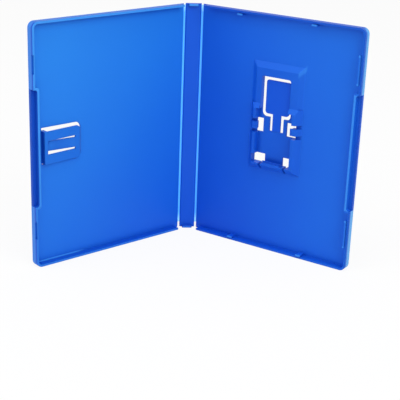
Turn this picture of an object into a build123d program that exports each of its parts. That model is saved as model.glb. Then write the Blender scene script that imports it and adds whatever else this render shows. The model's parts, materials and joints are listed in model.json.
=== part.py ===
from build123d import *
import os
from math import atan, degrees, radians, tan

# A small moulded case for a game card, stood open like a book: back cover, spine and front cover
# in one blue moulding with two living hinges, and a clear film sleeve over the outside.
# Millimetres and degrees. +Z runs up the spine, +X from the back cover's hinge to its opening
# edge, and -Y is the way the inside of the back cover faces.

# The closed case
CASE_HEIGHT = 136.0
CASE_WIDTH = 105.0
CASE_THICKNESS = 11.0
FLOOR = 1.2
WALL = 1.2
RIM_GAP = 0.3
CORNER_RADIUS = 3.5
EDGE_RADIUS = 1.0

# The living hinges
WEB = 0.4
GROOVE = 1.5
GROOVE_BEVEL = 0.6
WEB_TOP_NOTCH = 0.8
WEB_FOOT_NOTCH = 3.0
REST_FOLD = 37.3

# The spine's end walls
SPINE_END_HEIGHT = 3.4
SPINE_END_WIDTH = 6.0
SPINE_END_RADIUS = 0.9
END_CLEARANCE = 0.8

# The finger recess along the opening edges
RECESS_LENGTH = 65.0
RECESS_DEPTH = 2.4
RECESS_LEDGE = 2.8
RECESS_RADIUS = 1.5

# The latches: lugs on the back cover that grip inside the front cover's wall, and nail notches in
# the front cover's rim over them
LATCH_OFFSET = 46.0
LUG_LENGTH = 16.0
LUG_THICKNESS = 0.8
LUG_RISE = 0.9
LUG_GAP = 0.45
LUG_RIDGE = 0.2
NOTCH_LENGTH = 10.0
NOTCH_WIDTH = 0.7
NOTCH_DEPTH = 1.25

# The locating tabs inside the back cover's end walls
TAB_PLACES = (28.5, 75.0)
TAB_WIDTH = 3.0
TAB_THICKNESS = 0.9
TAB_RISE = 1.0
TAB_GAP = 0.3

# The booklet clip of the front cover, placed from the opening edge and the middle of the height
CLIP_SETBACK = 6.9
CLIP_OFFSET = -0.5
CLIP_LENGTH = 23.9
CLIP_WIDTH = 18.2
CLIP_ROOT_RISE = 3.3
CLIP_END_RISE = 1.5
CLIP_THICKNESS = 1.0
CLIP_ROOT_THICKNESS = 2.2
CLIP_BAR = 3.0
CLIP_RADIUS = 2.0
CLIP_WINDOW_ABOVE = 1.6
CLIP_WINDOW_BELOW = 0.8
CLIP_WINDOW_REACH = 1.6
CLIP_WINDOW_RADIUS = 3.6
LEAF_WIDTH = 5.5
LEAF_SLOT = 1.1
LEAF_DROP = 2.9
LEAF_END_GAP = 1.9

# The card holder of the back cover, placed by its distance from the hinge axis
HOLDER_U = 53.1
POCKET_BOTTOM = 52.0
CARD_WIDTH = 22.0
CARD_LENGTH = 30.0
CARD_THICKNESS = 2.0
CARD_CLEARANCE = 0.5
HOLDER_RISE = 3.7
HOLDER_RIM = 1.8
HOLDER_BEVEL = 3.3
UPPER_RISE = 2.0
UPPER_TOP = 109.4
STEP_RUN = 2.8
LIP_CLEARANCE = 0.15
LIP_OVERHANG = 0.5
LIP_HEIGHT = 0.85
SIDE_CLIP_Z = 72.9
SIDE_CLIP_WIDTH = 4.1
SIDE_CLIP_SLIT = 2.0
SIDE_WINDOW_OUT = 1.2
HINGE_SIDE_WINDOW_IN = 3.2
EDGE_SIDE_WINDOW_IN = 4.9
FOOT_CLIP_WIDTH = 14.6
FOOT_CLIP_SLIT = 1.4
FOOT_SLIT_DROP = 2.5
FOOT_WINDOW_DROP = 0.9
FOOT_WINDOW_RISE = 4.3
HINGE_SIDE_FOOT_WINDOW = (6.1, 13.7)
EDGE_SIDE_FOOT_WINDOW = 5.2

# The release tab cut out of the holder's floor
PADDLE_WIDTH = 15.2
PADDLE_BOTTOM = 80.1
PADDLE_TOP = 99.4
PADDLE_TOP_RADIUS = 1.2
PADDLE_FOOT_RADIUS = 1.8
WELL_FOOT_RADIUS = 2.6
NECK_WIDTH = 5.2
NECK_ROOT = 70.2
TAB_SLOT = 2.2
EDGE_SIDE_SLOT = 1.1
NECK_SLOT = 1.9
RELEASE_TAB_THICKNESS = 0.8
ROOT_GAP = 0.1

# The clear sleeve
SLEEVE = 0.15
SLEEVE_GAP = 0.3
SLEEVE_INSET = 2.0

# Sizes that follow from those above
middle = CASE_HEIGHT / 2
outer_y = WEB / 2
floor_y = outer_y - FLOOR
rim_height = (CASE_THICKNESS - RIM_GAP) / 2
hinge_spacing = CASE_THICKNESS - WEB
reach = CASE_WIDTH - WEB / 2
panel_start = GROOVE / 2
wall_start = SPINE_END_HEIGHT - outer_y + END_CLEARANCE
fold_radius = panel_start / tan(radians(REST_FOLD / 2))
clip_root = reach - CLIP_SETBACK
clip_middle = middle + CLIP_OFFSET
pocket_half = CARD_WIDTH / 2 + CARD_CLEARANCE
pocket_top = POCKET_BOTTOM + CARD_LENGTH + 2 * CARD_CLEARANCE
holder_half = pocket_half + HOLDER_RIM + HOLDER_BEVEL
holder_bottom = POCKET_BOTTOM - HOLDER_RIM - HOLDER_BEVEL
lip_low = CARD_THICKNESS + LIP_CLEARANCE
lip_high = lip_low + LIP_HEIGHT
foot_window_bottom = POCKET_BOTTOM - FOOT_WINDOW_DROP
foot_window_top = POCKET_BOTTOM + FOOT_WINDOW_RISE
well_bottom = PADDLE_BOTTOM - NECK_SLOT

# Frames: the origin is on the foot of the back cover's end wall, midway along it
back_frame = Pos(-reach / 2, rim_height / 2 - outer_y, 0)
spine_frame = back_frame * Rot(0, 0, REST_FOLD)
front_hinge_frame = spine_frame * Pos(-hinge_spacing, 0, 0)
front_frame = front_hinge_frame * Rot(0, 0, REST_FOLD)


def at_depth(depth):
    """The plane of a panel, at a depth below its outer face; sketches run along u and z."""
    return Plane.XZ.offset(depth - outer_y)


def area(u_low, u_high, z_low, z_high):
    """A rectangle on a panel, between two distances from the hinge axis and two heights."""
    return Pos((u_low + u_high) / 2, (z_low + z_high) / 2) * Rectangle(u_high - u_low, z_high - z_low)


def raised(sketch, low, high, taper=0):
    """The sketch as a solid between two heights over the panel's inner face."""
    return extrude(at_depth(FLOOR + low) * sketch, high - low, taper=taper)


def through(sketch):
    """A cutter that passes right through the panel and all that stands on it."""
    return raised(sketch, -2 * FLOOR, 2 * rim_height)


def rib(points, z_low, z_high):
    """A profile of points (distance from the hinge axis, height over the floor), run along z."""
    profile = make_face(Polyline([(u, floor_y - h) for u, h in points], close=True))
    return Pos(0, 0, z_low) * extrude(profile, z_high - z_low, dir=(0, 0, 1))


def tray():
    """A cover without its fittings: a floor with walls on three sides and the finger recess."""
    block = raised(area(panel_start, reach, 0, CASE_HEIGHT), -FLOOR, rim_height - FLOOR)
    block = fillet(block.edges().filter_by(Axis.Y).group_by(Axis.X)[-1], CORNER_RADIUS)
    rim = block.faces().sort_by(Axis.Y)[-1].edges().sort_by(Axis.X)[1:]
    block = fillet(rim, EDGE_RADIUS)
    inside = area(-reach, reach - WALL, WALL, CASE_HEIGHT - WALL)
    inside = fillet(inside.vertices().group_by(Axis.X)[-1], CORNER_RADIUS - WALL)
    recess_wall = area(
        reach - RECESS_DEPTH - WALL,
        reach,
        middle - RECESS_LENGTH / 2 - WALL,
        middle + RECESS_LENGTH / 2 + WALL,
    )
    inside -= fillet(recess_wall.vertices().group_by(Axis.X)[0], RECESS_RADIUS)
    hinge_end = area(-reach, wall_start, -WALL, CASE_HEIGHT + WALL)
    tray = block - raised(inside, 0, rim_height) - raised(hinge_end, 0, rim_height)
    recess = area(
        reach - RECESS_DEPTH,
        reach + WALL,
        middle - RECESS_LENGTH / 2,
        middle + RECESS_LENGTH / 2,
    )
    recess = fillet(recess.vertices().group_by(Axis.X)[0], RECESS_RADIUS)
    tray -= raised(recess, RECESS_LEDGE - FLOOR, rim_height)
    hinge_edge = tray.faces().sort_by(Axis.X)[0].edges().filter_by(Axis.Z).sort_by(Axis.Y)[0]
    return chamfer(hinge_edge, GROOVE_BEVEL)


def latch_lugs():
    """Two lugs that stand inside the opening edge and hook behind the other cover's wall."""
    wall_in = reach - WALL
    face = wall_in - LUG_GAP
    top = rim_height - FLOOR + LUG_RISE
    profile = [
        (wall_in, 0),
        (wall_in, rim_height - FLOOR - LUG_RISE),
        (face, rim_height - FLOOR),
        (face, top - 2 * LUG_RIDGE),
        (face + LUG_RIDGE, top - LUG_RIDGE),
        (face, top),
        (face - LUG_THICKNESS, top),
        (face - LUG_THICKNESS, 0),
    ]
    for centre in (middle - LATCH_OFFSET, middle + LATCH_OFFSET):
        yield rib(profile, centre - LUG_LENGTH / 2, centre + LUG_LENGTH / 2)


def locating_tabs():
    """Small tabs inside both end walls that steer the covers together."""
    top = rim_height - FLOOR
    for place in TAB_PLACES:
        foot = area(place - TAB_WIDTH / 2, place + TAB_WIDTH / 2, WALL, WALL + TAB_GAP + TAB_THICKNESS)
        post = area(
            place - TAB_WIDTH / 2,
            place + TAB_WIDTH / 2,
            WALL + TAB_GAP,
            WALL + TAB_GAP + TAB_THICKNESS,
        )
        tab = raised(foot, 0, top - TAB_RISE) + raised(post, 0, top + TAB_RISE)
        yield tab
        yield Pos(0, 0, CASE_HEIGHT) * mirror(tab, about=Plane.XY)


def across(side, near, far, z_low, z_high):
    """A rectangle beside the holder's middle line; side is -1 towards the hinge, 1 away from it."""
    low, high = sorted((HOLDER_U + side * near, HOLDER_U + side * far))
    return area(low, high, z_low, z_high)


def side_clip(side):
    """A springy finger beside the card, with a lip over its edge."""
    tip = CARD_WIDTH / 2 - LIP_OVERHANG
    back = holder_half - HOLDER_BEVEL * lip_high / HOLDER_RISE
    profile = [
        (HOLDER_U + side * holder_half, 0),
        (HOLDER_U + side * back, lip_high),
        (HOLDER_U + side * tip, lip_high),
        (HOLDER_U + side * tip, (lip_low + lip_high) / 2),
        (HOLDER_U + side * pocket_half, lip_low),
        (HOLDER_U + side * pocket_half, 0),
    ]
    return rib(profile, SIDE_CLIP_Z - SIDE_CLIP_WIDTH / 2, SIDE_CLIP_Z + SIDE_CLIP_WIDTH / 2)


def foot_lip():
    """The lip of the wide finger at the card's foot."""
    tip = POCKET_BOTTOM + CARD_CLEARANCE + LIP_OVERHANG
    profile = [
        (POCKET_BOTTOM, lip_high),
        (tip, lip_high),
        (tip, (lip_low + lip_high) / 2),
        (POCKET_BOTTOM, lip_low),
    ]
    face = make_face(Polyline([(floor_y - h, z) for z, h in profile], close=True))
    lip = extrude(Plane.YZ * face, FOOT_CLIP_WIDTH)
    return Pos(HOLDER_U - FOOT_CLIP_WIDTH / 2, 0, 0) * lip


def holder_block():
    """The raised block with bevelled sides: lower round the release tab, with a ramp up to the card."""
    outline = area(HOLDER_U - holder_half, HOLDER_U + holder_half, holder_bottom, UPPER_TOP)
    low = raised(outline, 0, UPPER_RISE, degrees(atan(HOLDER_BEVEL / UPPER_RISE)))
    high = raised(outline, 0, HOLDER_RISE, degrees(atan(HOLDER_BEVEL / HOLDER_RISE)))
    ramp = [
        (0, floor_y),
        (0, floor_y - HOLDER_RISE),
        (pocket_top, floor_y - HOLDER_RISE),
        (pocket_top + STEP_RUN, floor_y - UPPER_RISE),
        (pocket_top + STEP_RUN, floor_y),
    ]
    under_ramp = extrude(Plane.YZ * make_face(Polyline([(y, z) for z, y in ramp], close=True)), reach)
    return low + (high & under_ramp)


def side_fittings(cover, side, window_in):
    """A side clip between two slits, with a window in the floor under its lip."""
    slit_low = SIDE_CLIP_Z - SIDE_CLIP_WIDTH / 2 - SIDE_CLIP_SLIT
    slit_high = SIDE_CLIP_Z + SIDE_CLIP_WIDTH / 2 + SIDE_CLIP_SLIT
    cover -= raised(across(side, pocket_half, holder_half + WALL, slit_low, slit_high), 0, rim_height)
    window_out = pocket_half + SIDE_WINDOW_OUT
    cover -= through(across(side, pocket_half - window_in, window_out, slit_low, slit_high))
    return cover + side_clip(side)


def foot_fittings(cover, side, window_in, window_out):
    """A foot window in the corner of the pocket, and the slit that frees the foot clip."""
    cover -= through(across(side, window_in, window_out, foot_window_bottom, foot_window_top))
    slit_in = FOOT_CLIP_WIDTH / 2
    slit_out = slit_in + FOOT_CLIP_SLIT
    cover -= through(across(side, slit_in, slit_out, POCKET_BOTTOM - FOOT_SLIT_DROP, POCKET_BOTTOM))
    slit = across(side, slit_in, slit_out, holder_bottom - WALL, POCKET_BOTTOM)
    return cover - raised(slit, 0, rim_height)


def card_holder(cover):
    """The raised block for the card, with its pocket, clips, windows and the release tab's well."""
    cover += holder_block()
    pocket = across(1, -pocket_half, pocket_half, POCKET_BOTTOM, pocket_top)
    cover -= raised(pocket, 0, rim_height)
    cover += foot_lip()
    cover = side_fittings(cover, -1, HINGE_SIDE_WINDOW_IN)
    cover = side_fittings(cover, 1, EDGE_SIDE_WINDOW_IN)
    cover = foot_fittings(cover, -1, *HINGE_SIDE_FOOT_WINDOW)
    cover = foot_fittings(cover, 1, EDGE_SIDE_FOOT_WINDOW, pocket_half)
    paddle_half = PADDLE_WIDTH / 2
    well_top = PADDLE_TOP + TAB_SLOT
    well = across(1, -paddle_half - TAB_SLOT, paddle_half + EDGE_SIDE_SLOT, well_bottom, well_top)
    well = round_ends(well, WELL_FOOT_RADIUS, PADDLE_TOP_RADIUS)
    neck_half = NECK_WIDTH / 2 + NECK_SLOT
    neck_slot = across(1, -neck_half, neck_half, NECK_ROOT, well_bottom)
    return cover - through(well) - through(neck_slot)


def round_ends(sketch, foot_radius, top_radius):
    """The sketch with its lower and upper corners rounded."""
    sketch = fillet(sketch.vertices().group_by(Axis.Y)[0], foot_radius)
    return fillet(sketch.vertices().group_by(Axis.Y)[-1], top_radius)


def release_tab():
    """The paddle that a fingertip presses, on its springy neck."""
    paddle = across(1, -PADDLE_WIDTH / 2, PADDLE_WIDTH / 2, PADDLE_BOTTOM, PADDLE_TOP)
    paddle = round_ends(paddle, PADDLE_FOOT_RADIUS, PADDLE_TOP_RADIUS)
    neck_top = PADDLE_BOTTOM + PADDLE_FOOT_RADIUS
    neck = across(1, -NECK_WIDTH / 2, NECK_WIDTH / 2, NECK_ROOT + ROOT_GAP, neck_top)
    return raised(paddle + neck, -RELEASE_TAB_THICKNESS, 0)


def booklet_clip(cover):
    """A sloping bridge over a window in the floor, with a leaf that bends back down to the floor."""
    free_end = clip_root - CLIP_LENGTH
    root_in = clip_root - CLIP_ROOT_THICKNESS
    low, high = clip_middle - CLIP_WIDTH / 2, clip_middle + CLIP_WIDTH / 2
    window_low, window_high = low - CLIP_WINDOW_BELOW, high + CLIP_WINDOW_ABOVE
    window = area(free_end - CLIP_WINDOW_REACH, clip_root, window_low, window_high)
    cover -= through(fillet(window.vertices().group_by(Axis.X)[0], CLIP_WINDOW_RADIUS))
    slope = (CLIP_ROOT_RISE - CLIP_END_RISE) / CLIP_LENGTH
    bridge = rib(
        [
            (free_end, CLIP_END_RISE),
            (clip_root, CLIP_ROOT_RISE),
            (clip_root, -FLOOR),
            (root_in, -FLOOR),
            (root_in, CLIP_ROOT_RISE - slope * CLIP_ROOT_THICKNESS - CLIP_THICKNESS),
            (free_end, CLIP_END_RISE - CLIP_THICKNESS),
        ],
        low,
        high,
    )
    outline = area(free_end, clip_root, low, high)
    bridge &= through(fillet(outline.vertices().group_by(Axis.X)[0], CLIP_RADIUS))
    leaf_half = LEAF_WIDTH / 2
    leaf_root, leaf_end = free_end + CLIP_BAR, root_in - LEAF_END_GAP
    slot_half = leaf_half + LEAF_SLOT
    bridge -= through(area(leaf_root, root_in, clip_middle - slot_half, clip_middle + slot_half))
    root_rise = CLIP_END_RISE + slope * CLIP_BAR
    end_rise = CLIP_ROOT_RISE - slope * (clip_root - leaf_end) - LEAF_DROP
    leaf = [
        (leaf_root, root_rise - CLIP_THICKNESS),
        (leaf_root, root_rise),
        (leaf_end, end_rise),
        (leaf_end, end_rise - CLIP_THICKNESS),
    ]
    return cover + bridge + rib(leaf, clip_middle - leaf_half, clip_middle + leaf_half)


def make_back_cover():
    cover = card_holder(tray())
    for lug in latch_lugs():
        cover += lug
    for tab in locating_tabs():
        cover += tab
    return cover


def make_front_cover():
    cover = booklet_clip(tray())
    for centre in (middle - LATCH_OFFSET, middle + LATCH_OFFSET):
        low, high = centre - NOTCH_LENGTH / 2, centre + NOTCH_LENGTH / 2
        notch = area(reach - NOTCH_WIDTH, reach + WALL, low, high)
        cover -= raised(notch, rim_height - FLOOR - NOTCH_DEPTH, rim_height)
    return mirror(cover, about=Plane.YZ)


def make_spine():
    """The narrow panel between the hinges, with a low wall across each end."""
    inner, outer = hinge_spacing - panel_start, panel_start
    profile = [
        (-inner, outer_y),
        (-outer, outer_y),
        (-outer, floor_y + GROOVE_BEVEL),
        (-outer - GROOVE_BEVEL, floor_y),
        (-inner + GROOVE_BEVEL, floor_y),
        (-inner, floor_y + GROOVE_BEVEL),
    ]
    spine = extrude(make_face(Polyline(profile, close=True)), CASE_HEIGHT, dir=(0, 0, 1))
    centre = -hinge_spacing / 2
    low, high = centre - SPINE_END_WIDTH / 2, centre + SPINE_END_WIDTH / 2
    end = raised(area(low, high, 0, WALL), 0, SPINE_END_HEIGHT - FLOOR)
    end = fillet(end.edges().filter_by(Axis.Z).group_by(Axis.Y)[0], SPINE_END_RADIUS)
    return spine + end + Pos(0, 0, CASE_HEIGHT - WALL) * end


def fold(low, high):
    """The bent strip at a hinge, between two offsets from the middle of the web."""
    centre = (panel_start, -fold_radius)
    outside = CenterArc(centre, fold_radius + high, 90, REST_FOLD)
    inside = CenterArc(centre, fold_radius + low, 90, REST_FOLD)
    ends = [Line(outside @ 0, inside @ 0), Line(outside @ 1, inside @ 1)]
    return make_face([outside, inside, *ends])


def make_hinge_web():
    length = CASE_HEIGHT - WEB_FOOT_NOTCH - WEB_TOP_NOTCH
    return Pos(0, 0, WEB_FOOT_NOTCH) * extrude(fold(-WEB / 2, WEB / 2), length, dir=(0, 0, 1))


def make_sleeve():
    """One sheet of clear film round the outside, already in the frame of the whole case."""
    low = outer_y + SLEEVE_GAP
    high = low + SLEEVE
    cover_length = reach - SLEEVE_INSET - panel_start
    cover_strip = Pos(panel_start + cover_length / 2, (low + high) / 2) * Rectangle(cover_length, SLEEVE)
    spine_length = hinge_spacing - GROOVE
    spine_strip = Pos(-hinge_spacing / 2, (low + high) / 2) * Rectangle(spine_length, SLEEVE)
    sheet = back_frame * cover_strip + back_frame * fold(low, high) + spine_frame * spine_strip
    sheet += front_hinge_frame * fold(low, high)
    sheet += front_frame * mirror(cover_strip, about=Plane.YZ)
    sleeve = extrude(sheet, CASE_HEIGHT - 2 * SLEEVE_INSET, dir=(0, 0, 1))
    return Pos(0, 0, SLEEVE_INSET) * sleeve


nodes = {
    "back_cover": back_frame * make_back_cover(),
    "spine": spine_frame * make_spine(),
    "front_cover": front_frame * make_front_cover(),
    "back_hinge_web": back_frame * make_hinge_web(),
    "front_hinge_web": front_hinge_frame * make_hinge_web(),
    "release_tab": back_frame * release_tab(),
    "clear_sleeve": make_sleeve(),
}

os.makedirs("parts", exist_ok=True)
for name, shape in nodes.items():
    export_step(shape, f"parts/{name}.step")
    print(name, round(shape.volume, 1))
print("back hinge", back_frame.position, "front hinge", front_hinge_frame.position)
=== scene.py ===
# %% [markdown]
# A moulded case for a game card stands open like a book: two covers, a narrow spine between them,
# and a clear film sleeve over the outside. The solids are already made, to size and in place. They
# are loaded as a fixed frame, so this script never moves them: it gives them their finish, bends
# the soft pieces that cross the hinges, and sets up light and camera.

import json
from collections import namedtuple
from math import cos, radians, sin, tan

import bmesh
import bpy
from mathutils import Matrix, Vector


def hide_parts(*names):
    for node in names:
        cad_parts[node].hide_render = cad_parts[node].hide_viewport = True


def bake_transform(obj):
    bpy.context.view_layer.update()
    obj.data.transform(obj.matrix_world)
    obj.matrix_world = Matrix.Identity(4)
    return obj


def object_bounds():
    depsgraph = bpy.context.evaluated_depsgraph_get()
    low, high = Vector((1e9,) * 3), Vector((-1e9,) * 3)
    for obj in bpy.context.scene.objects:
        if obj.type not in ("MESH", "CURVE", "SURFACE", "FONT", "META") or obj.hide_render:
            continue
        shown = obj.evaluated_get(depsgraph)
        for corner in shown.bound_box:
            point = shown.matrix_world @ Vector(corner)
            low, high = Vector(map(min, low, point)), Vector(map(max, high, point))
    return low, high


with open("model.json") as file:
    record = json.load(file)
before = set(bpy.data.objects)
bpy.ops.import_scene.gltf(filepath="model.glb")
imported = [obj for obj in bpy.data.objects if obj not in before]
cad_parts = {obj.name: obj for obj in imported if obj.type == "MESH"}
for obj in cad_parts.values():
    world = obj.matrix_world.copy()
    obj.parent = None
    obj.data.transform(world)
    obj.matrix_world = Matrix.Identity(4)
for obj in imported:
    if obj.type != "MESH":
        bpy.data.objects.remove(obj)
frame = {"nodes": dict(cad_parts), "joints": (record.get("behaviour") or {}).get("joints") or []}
solid_low, solid_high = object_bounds()
scene = bpy.context.scene
MM = 0.001
print("solids", sorted(frame["nodes"]), "box", [round(s / MM, 1) for s in solid_high - solid_low])

# %% [markdown]
# Everything on this case is measured from its two hinges. Each hinge line is a joint of the frame,
# so its place is read from there. A hinge's lower limit is the pose where the case lies flat, which
# makes the size of that limit the angle that the plastic is folded by now. Two matrices then hold
# the places of the hinges: local x runs along a panel, which is the back cover at the back hinge and
# the spine at the front hinge, local y points out of the case, and z is up.

# %% Read the hinges
joints = {joint["name"]: joint for joint in frame["joints"]}
back_hinge = Vector(joints["back_hinge"]["pos_m"])
front_hinge = Vector(joints["front_hinge"]["pos_m"])
fold_angle = radians(-joints["back_hinge"]["range_deg"][0])
fold = Matrix.Rotation(fold_angle, 4, "Z")
back_place = Matrix.Translation(back_hinge)
spine_place = Matrix.Translation(front_hinge) @ fold
print("fold", round(fold_angle, 4), "back hinge", back_hinge[:], "front hinge", front_hinge[:])

# %% [markdown]
# The camera stands a little above the case, in front of the opening, and looks down into both
# covers. A camera can be aimed with a constraint, but a set heading, tilt and roll are easier to
# match to a picture, so its matrix is a product of three turns. The lens is long, as for product
# pictures, so the uprights stay nearly parallel.

# %% Camera
CAMERA_PLACE = Vector((0.2914, -0.5128, 0.2407))
CAMERA_HEADING = radians(34.82)
CAMERA_TILT_DOWN = radians(21.39)
CAMERA_ROLL = radians(1.63)
CAMERA_SENSOR = 36
CAMERA_LENS = 97.26
CAMERA_SHIFT = (0.061, 0.0705)

camera = bpy.data.objects.new("camera", bpy.data.cameras.new("camera"))
scene.collection.objects.link(camera)
turn = Matrix.Rotation(CAMERA_HEADING, 4, "Z")
turn = turn @ Matrix.Rotation(radians(90) - CAMERA_TILT_DOWN, 4, "X")
turn = turn @ Matrix.Rotation(CAMERA_ROLL, 4, "Z")
camera.matrix_world = Matrix.Translation(CAMERA_PLACE) @ turn
camera.data.sensor_width = CAMERA_SENSOR
camera.data.lens = CAMERA_LENS
camera.data.shift_x, camera.data.shift_y = CAMERA_SHIFT
scene.camera = camera
print("camera lens", CAMERA_LENS, "shift", CAMERA_SHIFT)

# %% [markdown]
# Shader maths reads best as maths. This small class wraps one output of a node. Adding or
# multiplying two of them adds a Math node, and `node` adds any other node: its settings are set
# first, because some of them decide which sockets the node has.


# %% A socket that does arithmetic
class Signal:
    def __init__(self, tree, socket=None):
        self.tree, self.socket = tree, socket

    def node(self, kind, settings=None, inputs=None, output=0):
        node = self.tree.nodes.new(kind)
        for name, value in (settings or {}).items():
            setattr(node, name, value)
        for name, value in (inputs or {}).items():
            if isinstance(value, Signal):
                self.tree.links.new(value.socket, node.inputs[name])
            else:
                node.inputs[name].default_value = value
        return Signal(self.tree, node.outputs[output] if node.outputs else None)

    def maths(self, operation, *values):
        return self.node("ShaderNodeMath", {"operation": operation}, dict(enumerate(values)))

    def __add__(self, other):
        return self.maths("ADD", self, other)

    def __sub__(self, other):
        return self.maths("SUBTRACT", self, other)

    def __rsub__(self, other):
        return self.maths("SUBTRACT", other, self)

    def __mul__(self, other):
        return self.maths("MULTIPLY", self, other)

    __radd__ = __add__
    __rmul__ = __mul__

    def larger(self, other):
        return self.maths("MAXIMUM", self, other)

    def magnitude(self):
        return self.maths("ABSOLUTE", self)

    def step(self, low, high):
        """0 at low, 1 at high, smooth between them; low may be the larger number."""
        ends = {"Value": self, "From Min": low, "From Max": high}
        return self.node("ShaderNodeMapRange", {"interpolation_type": "SMOOTHSTEP"}, ends)

    def between(self, low, high, soft):
        """1 from low to high and 0 outside, with soft ends."""
        return self.step(low - soft, low + soft) * self.step(high + soft, high - soft)

    def mix(self, first, second):
        """A colour between first and second, with this signal as the share of second."""
        settings = {"data_type": "RGBA", "clamp_factor": True}
        return self.node("ShaderNodeMix", settings, {0: self, 6: first, 7: second}, 2)


def new_finish(name):
    """A material with an empty node tree, and the signal that its nodes are added from."""
    material = bpy.data.materials.new(name)
    material.use_nodes = True
    material.node_tree.nodes.clear()
    return material, Signal(material.node_tree)


def set_surface(start, shader):
    start.node("ShaderNodeOutputMaterial", inputs={"Surface": shader})


print("shader helper ready")

# %% [markdown]
# The floor is plain and pale. For the camera, most of its light is an even white, so the ground
# fades into the backdrop while the case still darkens it where it stands. The world does the same:
# it lights the case softly from all round, and shows as white.

# %% Floor and backdrop
FLOOR_SIZE = 8.0
FLOOR_WHITE = (0.93, 0.93, 0.93, 1)
WHITE = (1, 1, 1, 1)
FLOOR_EVEN_SHARE = 0.9
WORLD_LIGHT = 0.5


def seen_directly(start):
    """1 for rays from the camera, mirrors and glass, and 0 for rays that carry light."""
    camera_ray = start.node("ShaderNodeLightPath", output="Is Camera Ray")
    mirror_ray = start.node("ShaderNodeLightPath", output="Is Glossy Ray")
    glass_ray = start.node("ShaderNodeLightPath", output="Is Transmission Ray")
    return camera_ray.larger(mirror_ray).larger(glass_ray)


floor_finish, start = new_finish("pale_floor")
matte = start.node("ShaderNodeBsdfDiffuse", inputs={"Color": FLOOR_WHITE})
even = start.node("ShaderNodeEmission", inputs={"Color": WHITE, "Strength": 1.0})
share = seen_directly(start) * FLOOR_EVEN_SHARE
set_surface(start, start.node("ShaderNodeMixShader", inputs={0: share, 1: matte, 2: even}))

floor_mesh = bpy.data.meshes.new("floor")
shape = bmesh.new()
bmesh.ops.create_grid(shape, x_segments=1, y_segments=1, size=FLOOR_SIZE / 2)
bmesh.ops.translate(shape, verts=shape.verts, vec=(0, 0, solid_low.z))
shape.to_mesh(floor_mesh)
shape.free()
floor = bpy.data.objects.new("floor", floor_mesh)
floor_mesh.materials.append(floor_finish)
scene.collection.objects.link(floor)

world = bpy.data.worlds.new("studio")
world.use_nodes = True
world.node_tree.nodes.clear()
start = Signal(world.node_tree)
direct = seen_directly(start)
strength = direct + (1 - direct) * WORLD_LIGHT
sky = start.node("ShaderNodeBackground", inputs={"Color": WHITE, "Strength": strength})
start.node("ShaderNodeOutputWorld", inputs={"Surface": sky})
scene.world = world
scene.view_settings.view_transform = "Standard"
print("floor at", solid_low.z, "world light", WORLD_LIGHT)

# %% [markdown]
# Large soft boxes shape the case. The main one stands high to the right, so that it shines into the
# front cover, along the opening edge of the back cover and on every ledge that faces up. One hangs
# overhead, and a weaker one fills from the left.

# %% Lamps
MIDDLE = (solid_low + solid_high) / 2
BOX_SIZE = 0.9


def soft_box(name, place, power):
    lamp = bpy.data.lights.new(name, "AREA")
    lamp.shape = "SQUARE"
    lamp.size = BOX_SIZE
    lamp.energy = power
    box = bpy.data.objects.new(name, lamp)
    box.location = place
    box.rotation_euler = (MIDDLE - Vector(place)).to_track_quat("-Z", "Y").to_euler()
    scene.collection.objects.link(box)


soft_box("main_box", (0.95, -0.40, 0.80), 7.0)
soft_box("top_box", (0.1, -0.45, 1.5), 6.0)
soft_box("fill_box", (-0.75, -0.95, 0.6), 4.2)
print("lamps", [o.name for o in scene.objects if o.type == "LIGHT"])

# %% [markdown]
# The case is blue polypropylene. A pattern that follows a cover has to know where it is on that
# cover, so the object's coordinates are turned and moved to the cover's hinge and counted in
# millimetres: x then runs away from the hinge, y is the depth (negative on the inside), z the height.
# The surface's normal tells which faces look up, and which look out past the opening edge.

# %% The place on a panel
CASE_HEIGHT = (solid_high.z - solid_low.z) / MM
HALF_HEIGHT = CASE_HEIGHT / 2
COVER_REACH = 104.8
COVER_RIM = -5.15
INNER_FLOOR = -1.0
OUTER_FACE = 0.2
NOISE_MIDDLE = 0.5
Spot = namedtuple("Spot", "start point along depth height off_middle inside outward upward")


def panel_spot(start, hinge, angle):
    """The place on a panel, and how far its surface looks outward past the edge and upward."""
    point = start.node(
        "ShaderNodeMapping",
        {"vector_type": "TEXTURE"},
        {
            "Vector": start.node("ShaderNodeTexCoord", output="Object"),
            "Location": hinge,
            "Rotation": (0, 0, angle),
            "Scale": (MM, MM, MM),
        },
    )
    across, depth, height = (
        start.node("ShaderNodeSeparateXYZ", inputs={0: point}, output=part) for part in range(3)
    )
    facing = start.node("ShaderNodeTexCoord", output="Normal")
    along_panel = start.node(
        "ShaderNodeVectorMath",
        {"operation": "DOT_PRODUCT"},
        {0: facing, 1: (cos(angle), sin(angle), 0)},
        "Value",
    )
    return Spot(
        start,
        point,
        along=across.magnitude(),
        depth=depth,
        height=height,
        off_middle=(height - HALF_HEIGHT).magnitude(),
        inside=depth.step(OUTER_FACE, INNER_FLOOR),
        outward=along_panel * across.maths("SIGN", across),
        upward=start.node("ShaderNodeSeparateXYZ", inputs={0: facing}, output="Z"),
    )


def noise(point, scale, detail=2):
    """A soft random pattern round NOISE_MIDDLE."""
    inputs = {"Vector": point, "Scale": scale, "Detail": detail}
    return point.node("ShaderNodeTexNoise", inputs=inputs)


print("case height", round(CASE_HEIGHT, 2), "cover reach", COVER_REACH)
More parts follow.
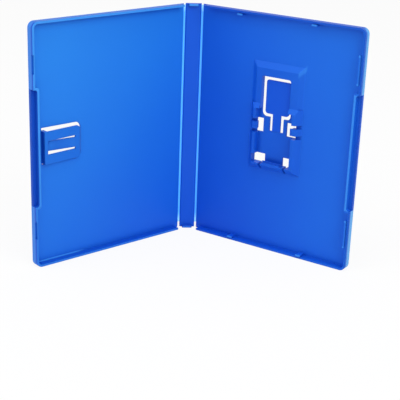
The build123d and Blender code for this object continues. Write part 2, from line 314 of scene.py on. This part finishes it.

# %% [markdown]
# Thick plastic looks deep blue, and painted shade makes it deeper still. Each function from here on
# is one coat: it takes the colour so far and returns it with another laid over it where a mask is 1.
# Such shades could be painted by hand, but a mask worked out from the place on the panel stays sharp.
# Raised parts get painted shade, deepest beside the rims, and less on faces that look up to the light.

# %% Shade on raised parts
SHADE_BLUE = (0.0025, 0.055, 0.47, 1)
RAISED = (INNER_FLOOR - 0.15, INNER_FLOOR - 0.6)
EDGE_LINE = COVER_REACH - 0.4
END_BAND = (HALF_HEIGHT - 3.2, HALF_HEIGHT - 1.4)
UPPER_HALF = (0.4 * CASE_HEIGHT, 0.6 * CASE_HEIGHT)
LOOKS_UP = (0.2, 0.5)
Border = namedtuple("Border", "width edge foot top")


def shade_raised(colour, spot, share, border):
    """Painted shade on raised parts by share, and on a border by its own shares at the edge, foot and
    top.
    """
    beside_edge = spot.along.step(COVER_REACH - border.width, EDGE_LINE)
    beside_ends = spot.off_middle.step(*END_BAND)
    ends_share = border.foot + (border.top - border.foot) * spot.height.step(*UPPER_HALF)
    border_share = (border.edge * beside_edge).larger(ends_share * beside_ends)
    plain_share = share * (1 - spot.upward.step(*LOOKS_UP))
    return (spot.depth.step(*RAISED) * border_share.larger(plain_share)).mix(colour, SHADE_BLUE)


print("raised parts start at depth", RAISED[0])

# %% [markdown]
# Hollows get painted shade too: the card pocket, the finger recess in the opening edge, and every
# slot and inner corner. The Ambient Occlusion node finds those corners. It tells how closed in a spot
# is, and here it looks at this piece alone, so that a pose doesn't change it.

# %% Shade in hollows
SOFT = 0.2
POCKET_ALONG = (41.6, 64.6)
POCKET_UP = (52.0, 83.0)
POCKET_SOFT = 0.4
POCKET_FOOT = (POCKET_UP[0] + 4, POCKET_UP[0])
POCKET_FOOT_GAIN = 1.5
CREVICE_SETTINGS = {"samples": 8, "only_local": True}
CREVICE_REACH = 4 * MM
CREVICE_SHARE = 0.5
OPEN_TO_CLOSED = (1, 0.4)
LIT_EDGE = (COVER_REACH - 8, COVER_REACH - 4)
LIT_TOP = (CASE_HEIGHT - 8, CASE_HEIGHT - 4)
RECESS_HALF = 32.5
RECESS_BACK = COVER_REACH - 2.4


def shade_pocket(colour, spot, share):
    """Painted shade in the card pocket: deeper towards the opening edge and in the corner at its foot."""
    pocket = spot.along.between(*POCKET_ALONG, POCKET_SOFT) * spot.height.between(*POCKET_UP, POCKET_SOFT)
    gain = 1 + spot.along.step(*POCKET_ALONG) + POCKET_FOOT_GAIN * spot.height.step(*POCKET_FOOT)
    return (pocket * spot.inside * share * gain).mix(colour, SHADE_BLUE)


def shade_crevices(colour, spot, lit_share=0):
    """Painted shade in slots and inner corners, less of it by lit_share beside the opening edge and the
    top.
    """
    reach = {"Distance": CREVICE_REACH}
    open_sky = spot.start.node("ShaderNodeAmbientOcclusion", CREVICE_SETTINGS, reach, "AO")
    lit = lit_share * spot.along.step(*LIT_EDGE).larger(spot.height.step(*LIT_TOP))
    return (CREVICE_SHARE * (1 - lit) * open_sky.step(*OPEN_TO_CLOSED)).mix(colour, SHADE_BLUE)


def beside_recess(spot):
    return spot.off_middle.step(RECESS_HALF + SOFT, RECESS_HALF - SOFT)


def shade_recess(colour, spot, share):
    """Painted shade in the finger recess in the opening edge."""
    in_edge = spot.along.step(RECESS_BACK - SOFT, RECESS_BACK)
    return (share * beside_recess(spot) * in_edge * spot.inside).mix(colour, SHADE_BLUE)


print("card pocket along", POCKET_ALONG, "up", POCKET_UP, "recess height", 2 * RECESS_HALF)

# %% [markdown]
# Where the plastic is thin, light gets through, and a paler colour is painted in for that light: on
# the outer wall of the opening edge, where the wall turns its corners, and along the rims. The wall
# gets painted shade beside the rim and painted light towards the outer face.

# %% Painted light on walls and rims
# This pale blue is a painted highlight, for the rims and the small places further down.
HIGHLIGHT_BLUE = (0.06, 0.36, 0.92, 1)
CORNER = 3.5
CORNER_ALONG = COVER_REACH - CORNER
CORNER_OFF_MIDDLE = HALF_HEIGHT - CORNER
WALL_BAND = (COVER_REACH - 0.5, COVER_REACH - 0.15)
LOOKS_OUT = (0.1, 0.8)
RIM_TO_FACE = (COVER_RIM + 0.5, COVER_RIM + 2.1)
WALL_RISE = (0.3 * CASE_HEIGHT, 0.9 * CASE_HEIGHT)
RIM_SOFT = 0.25
RIM_RISE = (0.1 * CASE_HEIGHT, 0.6 * CASE_HEIGHT)
RECESS_RIM = (COVER_REACH - 4, COVER_REACH - 3.5)


def painted_wall_light_and_shade(colour, spot, at_rim, at_face, top_shift):
    """Painted light on the outer wall, painted shade by its rim; their change moves by top_shift to the
    top.
    """
    at_corner = spot.along.step(CORNER_ALONG - SOFT, CORNER_ALONG)
    at_corner = at_corner * spot.off_middle.step(CORNER_OFF_MIDDLE - SOFT, CORNER_OFF_MIDDLE)
    wall = spot.along.step(*WALL_BAND) * (1 - beside_recess(spot))
    wall = wall.larger(at_corner * spot.outward.step(*LOOKS_OUT))
    down_wall = spot.depth - top_shift * spot.height.step(*WALL_RISE)
    return wall.mix(colour, down_wall.step(*RIM_TO_FACE).mix(at_rim, at_face))


def painted_rim_light(colour, spot, rim_depth, at_foot, at_top, at_recess):
    """Painted light on the rim, by its shares at the foot, at the top and beside the finger recess."""
    rim = spot.depth.step(rim_depth + RIM_SOFT, rim_depth)
    share = at_foot + (at_top - at_foot) * spot.height.step(*RIM_RISE)
    near_recess = beside_recess(spot) * spot.along.step(*RECESS_RIM)
    return (rim * share.larger(near_recess * at_recess)).mix(colour, HIGHLIGHT_BLUE)


print("cover rim at depth", COVER_RIM)

# %% [markdown]
# A few small places catch the light too, and get a painted highlight: the mitre at the upper corner
# of the card holder, the ends of the lugs and tabs that stand above the rim, the slots behind the
# lugs, and a line in the inner corner at the foot. They are so small that a pale coat is enough.

# %% Small painted highlights
HOLDER_CORNER = (66.9, 105.8)
MITRE_ALONG = (HOLDER_CORNER[0] - 0.8, HOLDER_CORNER[0] + 3.3)
MITRE_SOFT = 0.6
MITRE_WIDTH = (2.6, 0.2)
ABOVE_RIM = (COVER_RIM - 0.1, COVER_RIM - 0.4)
LUG_ENDS = (38.0, 54.0)
LUG_MIDDLE = (39.0, 53.0)
LUG_SOFT = 0.5
LUG_SHARE = 0.5
SLOT_ALONG = (103.1, 103.65)
SLOT_SOFT = 0.1
SLOT_SHARE = 0.2
FOOT_LINE_UP = (1.3, 2.0)
FOOT_LINE_DEPTH = (INNER_FLOOR - 0.8, INNER_FLOOR - 0.3)
FOOT_LINE_ALONG = (73, COVER_REACH - 3)
FOOT_LINE_FADE = 4


def painted_mitre_glint(colour, spot, share):
    """A painted glint where the two slopes meet at the upper corner of the card holder."""
    off_mitre = ((spot.along - HOLDER_CORNER[0]) - (spot.height - HOLDER_CORNER[1])).magnitude()
    near_corner = spot.along.between(*MITRE_ALONG, MITRE_SOFT)
    return (share * off_mitre.step(*MITRE_WIDTH) * near_corner * spot.inside).mix(colour, HIGHLIGHT_BLUE)


def painted_lug_highlights(colour, spot):
    """Painted highlights on the lug and tab ends, and painted light in the slots between the lugs and the
    wall.
    """
    ends = spot.depth.step(*ABOVE_RIM) * (1 - spot.off_middle.between(*LUG_MIDDLE, LUG_SOFT))
    slots = spot.off_middle.between(*LUG_ENDS, SOFT) * spot.along.between(*SLOT_ALONG, SLOT_SOFT)
    return (LUG_SHARE * ends).larger(SLOT_SHARE * slots * spot.inside).mix(colour, HIGHLIGHT_BLUE)


def painted_foot_highlight(colour, spot, share):
    """A painted highlight line in the inner corner at the foot, near the opening edge."""
    corner = spot.height.between(*FOOT_LINE_UP, SOFT) * spot.depth.step(*FOOT_LINE_DEPTH)
    return (share * corner * spot.along.between(*FOOT_LINE_ALONG, FOOT_LINE_FADE)).mix(colour, HIGHLIGHT_BLUE)


print("holder corner at", HOLDER_CORNER, "lugs", LUG_ENDS, "from the middle")

# %% [markdown]
# Now the plastic itself. Painted light comes first: a slow change of the blue over a whole panel,
# paler where the panel takes more light, given by its share at the hinge and what is added along the
# panel and up it. Then come the coats. A fine grain roughens the surface, and the Bevel node rounds
# the sharp edges of the solids as a mould does.

# %% Blue plastic
# How far the blue goes from DEEP_BLUE towards LIGHT_BLUE over a panel is painted light.
DEEP_BLUE = (0.0048, 0.094, 0.66, 1)
LIGHT_BLUE = (0.0175, 0.228, 0.785, 1)
CLOUD_SCALE = 0.02
CLOUD_SHARE = 0.16
GRAIN_SCALE = 3.0
GRAIN_DEPTH = 0.05 * MM
GRAIN_STRENGTH = 0.05
SATIN_ROUGHNESS = 0.38
GRAIN_ROUGHNESS = 0.08
SATIN_SPECULAR = 0.15
MOULD_ROUNDING = 0.3 * MM
PaintedLight = namedtuple("PaintedLight", "at_hinge along up")


def blue_plastic(name, hinge, angle, painted_light, coats):
    """Blue for one panel with its painted light; each coat is a function and the values it takes."""
    material, start = new_finish(name)
    spot = panel_spot(start, hinge, angle)
    painted_lightness = painted_light.at_hinge + painted_light.along * spot.along.step(0, COVER_REACH)
    painted_lightness = painted_lightness + painted_light.up * spot.height.step(0, CASE_HEIGHT)
    painted_lightness = painted_lightness + CLOUD_SHARE * (noise(spot.point, CLOUD_SCALE) - NOISE_MIDDLE)
    colour = painted_lightness.mix(DEEP_BLUE, LIGHT_BLUE)
    for coat, *values in coats:
        colour = coat(colour, spot, *values)

    grain = noise(spot.point, GRAIN_SCALE)
    rounded = start.node("ShaderNodeBevel", {"samples": 4}, {"Radius": MOULD_ROUNDING})
    relief = {"Height": grain, "Strength": GRAIN_STRENGTH, "Distance": GRAIN_DEPTH, "Normal": rounded}
    shader = start.node(
        "ShaderNodeBsdfPrincipled",
        inputs={
            "Base Color": colour,
            "Roughness": SATIN_ROUGHNESS + GRAIN_ROUGHNESS * grain,
            "Specular IOR Level": SATIN_SPECULAR,
            "Normal": start.node("ShaderNodeBump", inputs=relief),
        },
    )
    set_surface(start, shader)
    return material


print("blue plastic ready")

# %% [markdown]
# Each panel gets its own coats, laid one over the other in the order given. The back cover carries
# the card holder and gets painted light on its opening edge. The front cover faces the main box, gets
# the most painted light and is the palest.

# %% Dress the panels
SPINE_RIM = -3.2
# Painted light and shade on the opening edge: the paler wall blues stand in for light through the thin
# wall, and the darker blues for shade beside its rim.
THIN_WALL_LIT_BLUE = (0.115, 0.385, 0.81, 1)
BACK_RIM_SHADE_BLUE = (0.003, 0.1, 0.58, 1)
FRONT_WALL_LIT_BLUE = (0.045, 0.215, 0.74, 1)
FRONT_RIM_SHADE_BLUE = (0.001, 0.085, 0.6, 1)
TIGHT_BORDER = Border(1.6, 0.75, 0.3, 0.65)
DEEP_BORDER = Border(4.5, 0.45, 0.45, 0.45)
back_coats = [
    (shade_raised, 0.2, TIGHT_BORDER),
    (shade_pocket, 0.16),
    (shade_crevices, 0.7),
    (painted_mitre_glint, 0.3),
    (painted_wall_light_and_shade, BACK_RIM_SHADE_BLUE, THIN_WALL_LIT_BLUE, 0.7),
    (shade_recess, 0.1),
    (painted_rim_light, COVER_RIM, 0.05, 0, 0.5),
    (painted_lug_highlights,),
]
spine_coats = [(shade_raised, 0, DEEP_BORDER), (shade_crevices,), (painted_rim_light, SPINE_RIM, 0.3, 0.7, 0)]
front_coats = [
    (shade_raised, 0.28, DEEP_BORDER),
    (shade_crevices,),
    (painted_wall_light_and_shade, FRONT_RIM_SHADE_BLUE, FRONT_WALL_LIT_BLUE, 0),
    (shade_recess, 0.8),
    (painted_rim_light, COVER_RIM, 0.3, 0.7, 0.5),
    (painted_foot_highlight, 0.9),
]


def dress(node, hinge, angle, painted_light, coats):
    """The blue for one solid, put on its mesh in place of what it wears."""
    material = blue_plastic(node + "_blue", hinge, angle, painted_light, coats)
    mesh = frame["nodes"][node].data
    mesh.materials.clear()
    mesh.materials.append(material)
    print(node, "wears", material.name, "with", len(coats), "coats")


# The three numbers for each panel set its painted light: its share at the hinge, along and up.
dress("back_cover", back_hinge, 0, PaintedLight(0.02, 0.26, 0.12), back_coats)
dress("release_tab", back_hinge, 0, PaintedLight(0, 0.05, 0), [(shade_crevices,)])
dress("spine", back_hinge, fold_angle, PaintedLight(0.07, 0, 0.03), spine_coats)
dress("front_cover", front_hinge, 2 * fold_angle, PaintedLight(0.24, 0.30, 0.48), front_coats)

# %% [markdown]
# Two kinds of piece cross the hinges and bend: the webs of the hinges and the film. Both follow the
# same bend, an arc that starts where one panel ends and stops where the next begins. Its centre lies
# on the inside. Each piece is a mesh with its place in it, so that its object stays at the origin.

# %% The bend at a hinge
HALF_GAP = 0.75
bend_radius = HALF_GAP / tan(fold_angle / 2)
bend_centre = Vector((HALF_GAP, -bend_radius, 0)) * MM
bend_end = Vector((-HALF_GAP, 0, 0))
bend_end.rotate(fold)


def new_piece(name, shape, place, finish):
    """A finished mesh at its place, linked and dressed."""
    bmesh.ops.transform(shape, matrix=place, verts=shape.verts)
    bmesh.ops.recalc_face_normals(shape, faces=shape.faces)
    mesh = bpy.data.meshes.new(name)
    shape.to_mesh(mesh)
    shape.free()
    mesh.materials.append(finish)
    piece = bpy.data.objects.new(name, mesh)
    scene.collection.objects.link(piece)
    print(name, len(mesh.polygons), "faces")
    return piece


print("bend radius", round(bend_radius, 2))

# %% [markdown]
# Each cover hangs on the spine by a living hinge: a web of the same plastic, so thin that light
# comes through and it shows as a bright line. That light is painted in, as a pale colour and a weak
# emission of its own, and the painted light is whitest at its two ends.

# %% Finish of the webs
WEB_FOOT = 3.0
WEB_TOP = CASE_HEIGHT - 0.8
WEB_FOOT_END = (WEB_FOOT + 7, WEB_FOOT)
WEB_TOP_END = (WEB_TOP - 5, WEB_TOP)
# The web blues and their emission below are painted light.
WEB_BLUE = (0.07, 0.40, 0.94, 1)
WEB_END_BLUE = (0.35, 0.75, 0.98, 1)
WEB_END_SHARE = 0.8
WEB_CLOUD_SCALE = 0.05
WEB_CLOUD_SHARE = 0.3
WEB_ROUGHNESS = 0.3
WEB_SPECULAR = 0.3
WEB_GLOW = 0.4


def web_finish(name, hinge):
    material, start = new_finish(name)
    spot = panel_spot(start, hinge, 0)
    ends = spot.height.step(*WEB_TOP_END).larger(spot.height.step(*WEB_FOOT_END))
    cloud = WEB_CLOUD_SHARE * (noise(spot.point, WEB_CLOUD_SCALE) - NOISE_MIDDLE)
    colour = (WEB_END_SHARE * ends + cloud).mix(WEB_BLUE, WEB_END_BLUE)
    shader = start.node(
        "ShaderNodeBsdfPrincipled",
        inputs={
            "Base Color": colour,
            "Roughness": WEB_ROUGHNESS,
            "Specular IOR Level": WEB_SPECULAR,
            "Emission Color": colour,
            "Emission Strength": WEB_GLOW,
        },
    )
    set_surface(start, shader)
    return material


print("webs from", WEB_FOOT, "to", round(WEB_TOP, 1))

# %% [markdown]
# A web is a flat strip that bends, so it can't be a rigid solid. An upright strip as thick as the
# web is spun by the fold angle about the centre of the bend.

# %% Hinge webs
WEB = 0.4
WEB_STEPS = 12


def hinge_web(name, place, finish):
    shape = bmesh.new()
    bmesh.ops.create_grid(shape, x_segments=1, y_segments=1, size=0.5)
    to_strip = Matrix.Translation((HALF_GAP * MM, 0, (WEB_FOOT + WEB_TOP) / 2 * MM))
    to_strip = to_strip @ Matrix.Rotation(radians(90), 4, "Z") @ Matrix.Rotation(radians(90), 4, "X")
    to_strip = to_strip @ Matrix.Diagonal((WEB * MM, (WEB_TOP - WEB_FOOT) * MM, 1, 1))
    bmesh.ops.transform(shape, matrix=to_strip, verts=shape.verts)
    bmesh.ops.spin(
        shape,
        geom=shape.verts[:] + shape.edges[:] + shape.faces[:],
        cent=bend_centre,
        axis=(0, 0, 1),
        angle=fold_angle,
        steps=WEB_STEPS,
    )
    piece = new_piece(name, shape, place, finish)
    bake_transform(piece)
    return piece


back_blue = web_finish("back_web_blue", back_hinge)
back_web = hinge_web("back_web_strip", back_place, back_blue)
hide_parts("back_hinge_web")
front_blue = web_finish("front_web_blue", front_hinge)
front_web = hinge_web("front_web_strip", spine_place, front_blue)
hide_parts("front_hinge_web")

# %% [markdown]
# The outside wears a sleeve of clear film, with room for a printed paper behind it. Film like this
# is nearly invisible from the front and shines at a glancing angle, so a Mix Shader goes from clear
# to gloss by the angle of view. Only the outer side of the sheet shines. It is made as two halves,
# and the real sheet has no edge where they meet, so the faces there are marked and don't shine.

# %% Finish of the film
FILM_TINT = (0.35, 0.45, 0.7, 1)
FILM_ROUGHNESS = 0.06
WAVE_ROUGHNESS = 0.05
WAVE_SCALE = 22.0
WAVE_STRENGTH = 0.25
WAVE_HEIGHT = 1.5 * MM
FRONT_SHINE = 0.02
GLANCING_SHINE = 0.5
GLANCING_POWER = 4
SEAM_MARK = "seam"


def clear_film(name):
    material, start = new_finish(name)
    waves = noise(start.node("ShaderNodeTexCoord", output="Object"), WAVE_SCALE, 1)
    relief = {"Height": waves, "Strength": WAVE_STRENGTH, "Distance": WAVE_HEIGHT}
    bump = start.node("ShaderNodeBump", inputs=relief)
    gloss = start.node(
        "ShaderNodeBsdfPrincipled",
        inputs={
            "Base Color": FILM_TINT,
            "Roughness": FILM_ROUGHNESS + WAVE_ROUGHNESS * waves,
            "Specular IOR Level": 1.0,
            "Normal": bump,
        },
    )
    clear = start.node("ShaderNodeBsdfTransparent", inputs={"Color": WHITE})
    facing = start.node("ShaderNodeLayerWeight", inputs={"Blend": 0.5, "Normal": bump}, output="Facing")
    inner_side = start.node("ShaderNodeNewGeometry", output="Backfacing")
    at_seam = start.node("ShaderNodeAttribute", {"attribute_name": SEAM_MARK}, output="Fac")
    shine = FRONT_SHINE + GLANCING_SHINE * facing.maths("POWER", facing, GLANCING_POWER)
    share = (1 - inner_side.larger(at_seam)) * shine
    set_surface(start, start.node("ShaderNodeMixShader", inputs={0: share, 1: clear, 2: gloss}))
    return material


print("film shine", FRONT_SHINE, "to", FRONT_SHINE + GLANCING_SHINE)

# %% [markdown]
# The film is one sheet from edge to edge. It crosses both hinges, so it is made as two halves that
# meet along the middle of the spine, each bent over its own hinge. An upright edge is drawn out
# along the cover, spun round the bend and drawn on to the middle of the spine. The border is pressed
# down where a real sleeve is welded to the cover, and Solidify's own operator gives it thickness.

# %% Film halves
FILM = 0.15
FILM_INSET = 2.0
FILM_OUT = OUTER_FACE + 0.29
FILM_WELD = 0.22
FILM_BORDER = 3.0
BEND_STEPS = 10
MERGE_REACH = 0.001
SEAM_REACH = 0.01
spine_half = (front_hinge - back_hinge).length / MM / 2 - HALF_GAP
unfold = fold.inverted()


def draw_out(shape, edges, vector):
    """Draw an open edge out along a vector, and return the edges that end it."""
    drawn = bmesh.ops.extrude_edge_only(shape, edges=edges)["geom"]
    points = [item for item in drawn if isinstance(item, bmesh.types.BMVert)]
    bmesh.ops.translate(shape, verts=points, vec=vector)
    edges = [item for item in drawn if isinstance(item, bmesh.types.BMEdge)]
    return [edge for edge in edges if all(vert in points for vert in edge.verts)]


def film_half(name, place):
    shape = bmesh.new()
    edge_x = COVER_REACH - FILM_INSET
    foot, top = FILM_INSET, CASE_HEIGHT - FILM_INSET
    profile = (FILM_OUT - FILM_WELD, foot), (FILM_OUT, foot + FILM_BORDER), (FILM_OUT, top)
    points = [shape.verts.new(Vector((edge_x, y, z)) * MM) for y, z in profile]
    edges = [shape.edges.new(pair) for pair in zip(points, points[1:])]
    edges = draw_out(shape, edges, Vector((-FILM_BORDER, 0, 0)) * MM)
    edges = draw_out(shape, edges, Vector((FILM_BORDER + HALF_GAP - edge_x, 0, 0)) * MM)
    turned = bmesh.ops.spin(
        shape,
        geom=edges + list({vert for edge in edges for vert in edge.verts}),
        cent=bend_centre,
        axis=(0, 0, 1),
        angle=fold_angle,
        steps=BEND_STEPS,
    )
    edges = [item for item in turned["geom_last"] if isinstance(item, bmesh.types.BMEdge)]
    draw_out(shape, edges, fold @ (Vector((-spine_half, 0, 0)) * MM))
    bmesh.ops.translate(shape, verts=points[1:], vec=(0, -FILM_WELD * MM, 0))
    bmesh.ops.remove_doubles(shape, verts=shape.verts, dist=MERGE_REACH * MM)
    bmesh.ops.recalc_face_normals(shape, faces=shape.faces)
    bmesh.ops.solidify(shape, geom=shape.faces[:], thickness=-FILM * MM)
    seam = -(HALF_GAP + spine_half - SEAM_REACH) * MM
    mark = shape.faces.layers.float.new(SEAM_MARK)
    for face in shape.faces:
        face[mark] = float(all((unfold @ vert.co).x < seam for vert in face.verts))
    piece = new_piece(name, shape, place, clear_film(name + "_clear"))
    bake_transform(piece)
    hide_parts("clear_sleeve")


film_half("back_film", back_place)
flip = Matrix.Diagonal((-1, 1, 1, 1))
front_half_place = spine_place @ flip @ unfold
film_half(
    "front_film",
    front_half_place,
)
